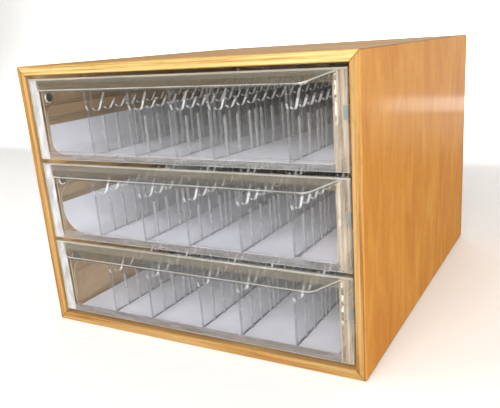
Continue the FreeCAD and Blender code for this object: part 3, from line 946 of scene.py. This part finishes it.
# %% Weld finish
LOWEST_DRAWER = 11.6
DRAWER_PITCH = 75.3
BUBBLE_MM = (6, 6, 4)
BUBBLE_ROW_MM = 1.2
UPPER_HALF = {"From_Min": 29 * MM, "From_Max": 36 * MM}
SEAM_INNER = {"From_Min": (WINDOW_HALF - 2) * MM, "From_Max": (WINDOW_HALF - 1) * MM}
SEAM_OUTER = {"From_Min": (WINDOW_HALF + 0.9) * MM, "From_Max": (WINDOW_HALF + 1.2) * MM,
              "To_Min": 1.0, "To_Max": 0.0}
DENSITY = {"From_Min": 0.36, "From_Max": 0.56, "To_Min": 0.35, "To_Max": 0.95}
BUBBLES = [(0.38, "#1E1C1A"), (0.47, "#8F8C86"), (0.53, "#EEF2FA"), (0.62, "#F4F8FF")]

weld, tree = new_material("styrene_weld_seam")
place = add(tree, "TexCoord").outputs["Object"]
space = add(tree, "Mapping", Vector=place, Scale=[1 / (size * MM) for size in BUBBLE_MM])
blobs = add(tree, "TexNoise", Vector=space, Scale=1.0, Detail=2.0, Roughness=0.6)
bubbles = add(tree, "ValToRGB", {"stops": BUBBLES}, Fac=blobs)
parts = add(tree, "SeparateXYZ", Vector=place)
above = add(tree, "Math", SUBTRACT, _0=parts.outputs["Z"], _1=LOWEST_DRAWER * MM)
height = add(tree, "Math", {"operation": "MODULO"}, _0=above, _1=DRAWER_PITCH * MM)
high = add(tree, "MapRange", Value=height, **UPPER_HALF)
colour = add(tree, "Mix", BLEND, _0=high, _6=srgb("#2A2826"), _7=bubbles).outputs[2]
seam = add(tree, "MapRange", Value=parts.outputs["X"], **SEAM_INNER)
wider = add(tree, "Math", MULTIPLY, _0=high, _1=BUBBLE_ROW_MM * MM)
across = add(tree, "Math", SUBTRACT, _0=parts.outputs["X"], _1=wider)
line = add(tree, "MapRange", Value=across, **SEAM_OUTER)
dense = add(tree, "MapRange", Value=blobs, **DENSITY)
there = add(tree, "Math", MULTIPLY, _0=seam, _1=line)
share = add(tree, "Math", MULTIPLY, _0=dense, _1=there)
through = add(tree, "BsdfTransparent", Color=srgb("#D8D6D2"))
lit = add(tree, "BsdfDiffuse", Color=colour)
add(tree, "OutputMaterial", Surface=add(tree, "MixShader", _0=share, _1=through, _2=lit))
print("bubbles are", BUBBLE_MM[0], "mm wide and", BUBBLE_MM[2], "mm high")

# %% [markdown]
# ## Trays
#
# The trays keep the shape that the frame gives them. They could be built anew, but their walls are
# plain, so a copy of the node's mesh is enough. It is cleaned until each flat is one face again,
# and a bevel rounds its edges. Its long sides are hazy with fine scratches from the runners, and
# that haze is painted in the warm colour of the wood light beside them. Its upper rim takes the
# edge finish, painted edge light.

# %% Trays
LONG_SIDE_AREA = 0.005
FACE_REACH = 0.2
TRAY_BEVEL = 0.2
wall = styrene("clear_styrene_wall", "#FDFDFC", 0.04, "#DEDCD6")
# Scratched haze, painted in the warm colour of light from the wood beside it.
tray_side = styrene("scratched_styrene_side_painted_wood_light", "#FDFCFA", 0.19, "#E2D2B8", roughness=0.08,
                    spread=0.25, cloud_mm=(12, 60, 4))
TRAY_FINISHES = [wall, rim_plastic, weld, tray_side]
WALL, TRAY_RIM, WELD, TRAY_SIDE = range(len(TRAY_FINISHES))


def tray_builder(node_name):
    """A function that fills a mesh with one tray, with its finishes by face."""
    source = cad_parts[node_name]
    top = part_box(node_name)[1].z

    def build(shape):
        shape.from_mesh(source.data)
        bmesh.ops.remove_doubles(shape, verts=shape.verts, dist=0.01 * MM)
        bmesh.ops.dissolve_limit(shape, angle_limit=math.radians(1), verts=shape.verts,
                                 edges=shape.edges)
        for face in shape.faces:
            middle = face.calc_center_median()
            face.material_index = WALL
            if abs(face.normal.x) > 0.9 and face.calc_area() > LONG_SIDE_AREA:
                face.material_index = TRAY_SIDE
            if middle.z > top - FACE_REACH * MM:
                face.material_index = TRAY_RIM
            if face.normal.y < -0.9 and middle.y < (PLATE_BACK + FACE_REACH) * MM:
                face.material_index = WELD

    return build


for drawer in DRAWERS:
    node_name = drawer + "_drawer_tray"
    tray = make_piece(drawer + "_tray_moulding", tray_builder(node_name), TRAY_FINISHES,
                      drawer + "_drawer", [node_name], bevel_mm=TRAY_BEVEL)
    print(tray.name, len(tray.data.polygons), "faces")

# %% [markdown]
# ## Paper liners
#
# A sheet of plain paper lies in each drawer under the dividers. In two drawers it is
# wider than the floor and turns up the left wall. It is white, slightly blue in cool
# light, quite matt, and lets a little light through. Cloth simulation could drape it,
# but it only bends one way, so its side view is drawn out along the drawer.

# %% Paper
PAPER_WHITE = [(0.35, "#E6E8F4"), (0.65, "#F2F4FE")]
CLOUD_MM = 40.0
# Paper fibres are finer than this, and would not show at all at their real width.
PAPER_FIBRE_MM = 0.8

uncoated_paper, tree = new_material("uncoated_paper")
place = add(tree, "TexCoord").outputs["Object"]
cloud = add(tree, "TexNoise", Vector=place, Scale=1 / (CLOUD_MM * MM), Detail=2.0)
fibres = add(tree, "TexNoise", Vector=place, Scale=1 / (PAPER_FIBRE_MM * MM), Detail=3.0)
colour = add(tree, "ValToRGB", {"stops": PAPER_WHITE}, Fac=cloud)
bump = add(tree, "Bump", Strength=0.15, Distance=0.05 * MM, Height=fibres)
lit = add(tree, "BsdfPrincipled", Base_Color=colour, Roughness=0.85, Normal=bump)
through = add(tree, "BsdfTranslucent", Color=colour)
add(tree, "OutputMaterial", Surface=add(tree, "MixShader", _0=0.12, _1=lit, _2=through))
print("paper fibres are drawn", PAPER_FIBRE_MM, "mm apart")

# %% Sheets
PAPER_MM = 0.4
CURL_STEPS = 16
# Radius of the bend and height of the turned-up edge in mm.
PAPER_CURL = {"bottom": (0.0, 0.0), "middle": (24.0, 29.0), "top": (12.0, 26.0)}


def paper_line(low, high, radius, rise):
    """The sheet's lower side across the drawer: (across, up) in mm, from right to left."""
    left, right, floor = low.x / MM, high.x / MM, low.z / MM
    points = [(right, floor)]
    if radius == 0.0:
        return points + [(left, floor)]
    turn = radius + PAPER_MM
    for step in range(CURL_STEPS + 1):
        angle = math.pi / 2 * step / CURL_STEPS
        points.append((left + turn - turn * math.sin(angle), floor + turn - turn * math.cos(angle)))
    points.append((left, floor + rise))
    return points


def paper_builder(node_name, radius, rise):
    """A function that fills a mesh with one sheet, and the sheet's flat width and depth."""
    low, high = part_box(node_name)
    line = paper_line(low, high, radius, rise)
    deep = high.y - low.y

    def build(shape):
        inner = []
        for i, (x, z) in enumerate(line):
            before = line[max(i - 1, 0)]
            after = line[min(i + 1, len(line) - 1)]
            run = Vector((after[0] - before[0], after[1] - before[1])).normalized()
            inner.append((x + run.y * PAPER_MM, z - run.x * PAPER_MM))
        prism(shape, line + inner[::-1], lambda u, v, w: (u * MM, low.y + w, v * MM), deep)

    return build, sum(math.dist(a, b) for a, b in zip(line, line[1:])) * MM, deep


for drawer in DRAWERS:
    node_name = drawer + "_drawer_liner"
    build, wide, deep = paper_builder(node_name, *PAPER_CURL[drawer])
    sheet = make_piece(drawer + "_paper_sheet", build, [uncoated_paper], drawer + "_drawer",
                       [node_name])
    print(sheet.name, round(wide / MM), "x", round(deep / MM), "mm")

# %% [markdown]
# ## Floor, light and camera
#
# A pale sheet runs from under the cabinet up behind it, so that no edge of a table cuts
# the view. Two broad lamps stand in front, one high and one low at the right, so that
# light reaches into the drawers, and a weaker one stands at the left. Small lamps would
# be simpler, but clear plastic shows each of them as a hard spot. A narrow one far
# behind is mirrored in the lacquer of the right side as a soft band. A wide one lights
# the backdrop, and the air itself is bright, as in a room with large windows.

# %% Backdrop
# A floor that curves up into a wall behind the cabinet, in metres.
FLOOR_FRONT = -4.0
FLOOR_BACK = 2.2
CURVE_RADIUS = 1.2
CURVE_STEPS = 12
BACKDROP_HEIGHT = 5.0
BACKDROP_HALF = 6.0

line = [(FLOOR_FRONT, 0.0), (FLOOR_BACK, 0.0)]
for step in range(1, CURVE_STEPS + 1):
    turn = step * math.pi / 2 / CURVE_STEPS
    line.append((FLOOR_BACK + CURVE_RADIUS * math.sin(turn), CURVE_RADIUS * (1 - math.cos(turn))))
line.append((FLOOR_BACK + CURVE_RADIUS, BACKDROP_HEIGHT))
shape = bmesh.new()
rows = [[shape.verts.new((x, y, z)) for x in (-BACKDROP_HALF, BACKDROP_HALF)] for y, z in line]
for a, b in zip(rows, rows[1:]):
    shape.faces.new((a[0], a[1], b[1], b[0]))
data = bpy.data.meshes.new("backdrop")
shape.to_mesh(data)
shape.free()
data.shade_smooth()
backdrop = bpy.data.objects.new("backdrop", data)
bpy.context.scene.collection.objects.link(backdrop)
matt_paint, tree = new_material("matt_backdrop_paint")
paint = add(tree, "BsdfPrincipled", Base_Color=srgb("#F2F1EF"), Roughness=0.9)
add(tree, "OutputMaterial", Surface=paint)
data.materials.append(matt_paint)
print("backdrop:", len(data.polygons), "faces, and", 2 * BACKDROP_HALF, "m wide")

# %% Lamps
MIDDLE = (0, 0, 0.12)
# Name, place, what it is aimed at, width and height, watts and colour.
LAMPS = [
    ("key", (0.2, -1.6, 0.9), MIDDLE, (1.6, 1.0), 32.0, "#FFFDFA"),
    ("low window", (0.95, -2.0, 0.3), MIDDLE, (1.4, 0.5), 33.0, "#FFFCF6"),
    ("fill", (-1.3, -1.0, 0.8), MIDDLE, (1.0, 1.0), 12.0, "#F6F8FF"),
    ("window on the side", (0.445, 1.2, 0.045), (0.30, 0.0, 0.15), (0.26, 0.04), 0.22, "#FFFFFF"),
    ("backdrop light", (0, 0.9, 1.3), (0, 3.4, 0.7), (5.0, 1.0), 260.0, "#FFFFFF"),
]
for name, place, target, size, watts, colour in LAMPS:
    data = bpy.data.lights.new(name, "AREA")
    data.shape = "RECTANGLE"
    data.size, data.size_y = size
    data.energy = watts
    data.color = srgb(colour)[:3]
    lamp = bpy.data.objects.new(name, data)
    lamp.location = place
    lamp.rotation_euler = (Vector(target) - Vector(place)).to_track_quat("-Z", "Y").to_euler()
    bpy.context.scene.collection.objects.link(lamp)
    print(name, watts, "W")

# %% Room
world = bpy.data.worlds.new("room")
bpy.context.scene.world = world
world.use_nodes = True
air = world.node_tree.nodes["Background"].inputs
air["Color"].default_value = srgb("#EFEDEA")
air["Strength"].default_value = 0.4
bpy.context.scene.view_settings.view_transform = "Standard"
# A line of sight through every divider crosses dozens of clear walls.
bpy.context.scene.cycles.transparent_max_bounces = 64
print("room light", air["Strength"].default_value)

# %% Camera
view = bpy.data.cameras.new("front_right_view")
view.sensor_width = 36.0
view.lens = 43.33
view.shift_x = -0.04215
view.shift_y = 0.0366
camera = bpy.data.objects.new("front_right_view", view)
camera.location = (0.29565, -0.5671, 0.25472)
camera.rotation_euler = [math.radians(a) for a in (73.0229, 3.6468, 27.4859)]
bpy.context.scene.collection.objects.link(camera)
bpy.context.scene.camera = camera
print("camera at", [round(v, 3) for v in camera.location])

# %% Finish
bpy.context.view_layer.update()
